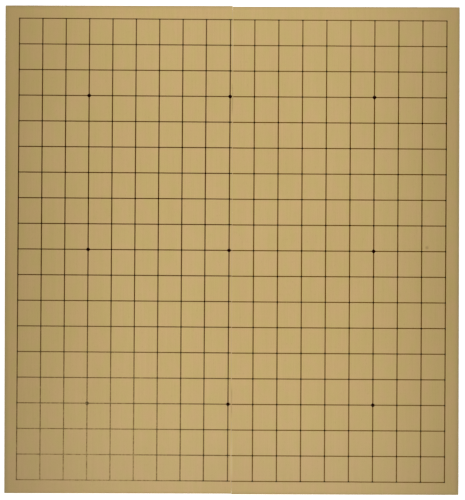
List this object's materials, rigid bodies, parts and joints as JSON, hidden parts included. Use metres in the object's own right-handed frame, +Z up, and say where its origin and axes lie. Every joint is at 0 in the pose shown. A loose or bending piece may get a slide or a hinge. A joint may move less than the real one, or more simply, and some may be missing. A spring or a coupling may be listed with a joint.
{
  "type": "folding go board",
  "caption": "Full-size folding go board: two veneered halves with a printed line grid and star points on top, hinged at the seam underneath, on rubber feet.",
  "frame": {"origin": "middle of the open board on the plane that it rests on, at the bottom of the feet", "axes": "+Z up, out of the playing face; +Y along the seam, to the rear; +X to the right half"},
  "size_m": [0.42, 0.4516, 0.0141],
  "materials": {
    "core": "matte",
    "veneer": "satin",
    "band": "satin",
    "ink": "matte",
    "hinge": "satin",
    "fastener": "satin",
    "foot": "matte"
  },
  "bodies": {
    "right_half": {"right_core": "core", "right_face_veneer": "veneer", "right_back_veneer": "veneer", "right_outer_band": "band", "right_seam_band": "band", "right_front_band": "band", "right_rear_band": "band", "right_grid_print": "ink", "front_hinge_right_leaf": "hinge", "front_hinge_pin": "fastener", "front_hinge_right_screws": "fastener", "rear_hinge_right_leaf": "hinge", "rear_hinge_pin": "fastener", "rear_hinge_right_screws": "fastener", "right_front_foot": "foot", "right_rear_foot": "foot"},
    "left_half": {"left_core": "core", "left_face_veneer": "veneer", "left_back_veneer": "veneer", "left_outer_band": "band", "left_seam_band": "band", "left_front_band": "band", "left_rear_band": "band", "left_grid_print": "ink", "front_hinge_left_leaf": "hinge", "front_hinge_left_screws": "fastener", "rear_hinge_left_leaf": "hinge", "rear_hinge_left_screws": "fastener", "left_front_foot": "foot", "left_rear_foot": "foot"}
  },
  "joints": [
    {"name": "fold", "type": "hinge", "parent": "right_half", "child": "left_half", "pos_m": [0, 0, 0.0032], "axis": [0, -1, 0], "range_deg": [0, 177.8]}
  ]
}
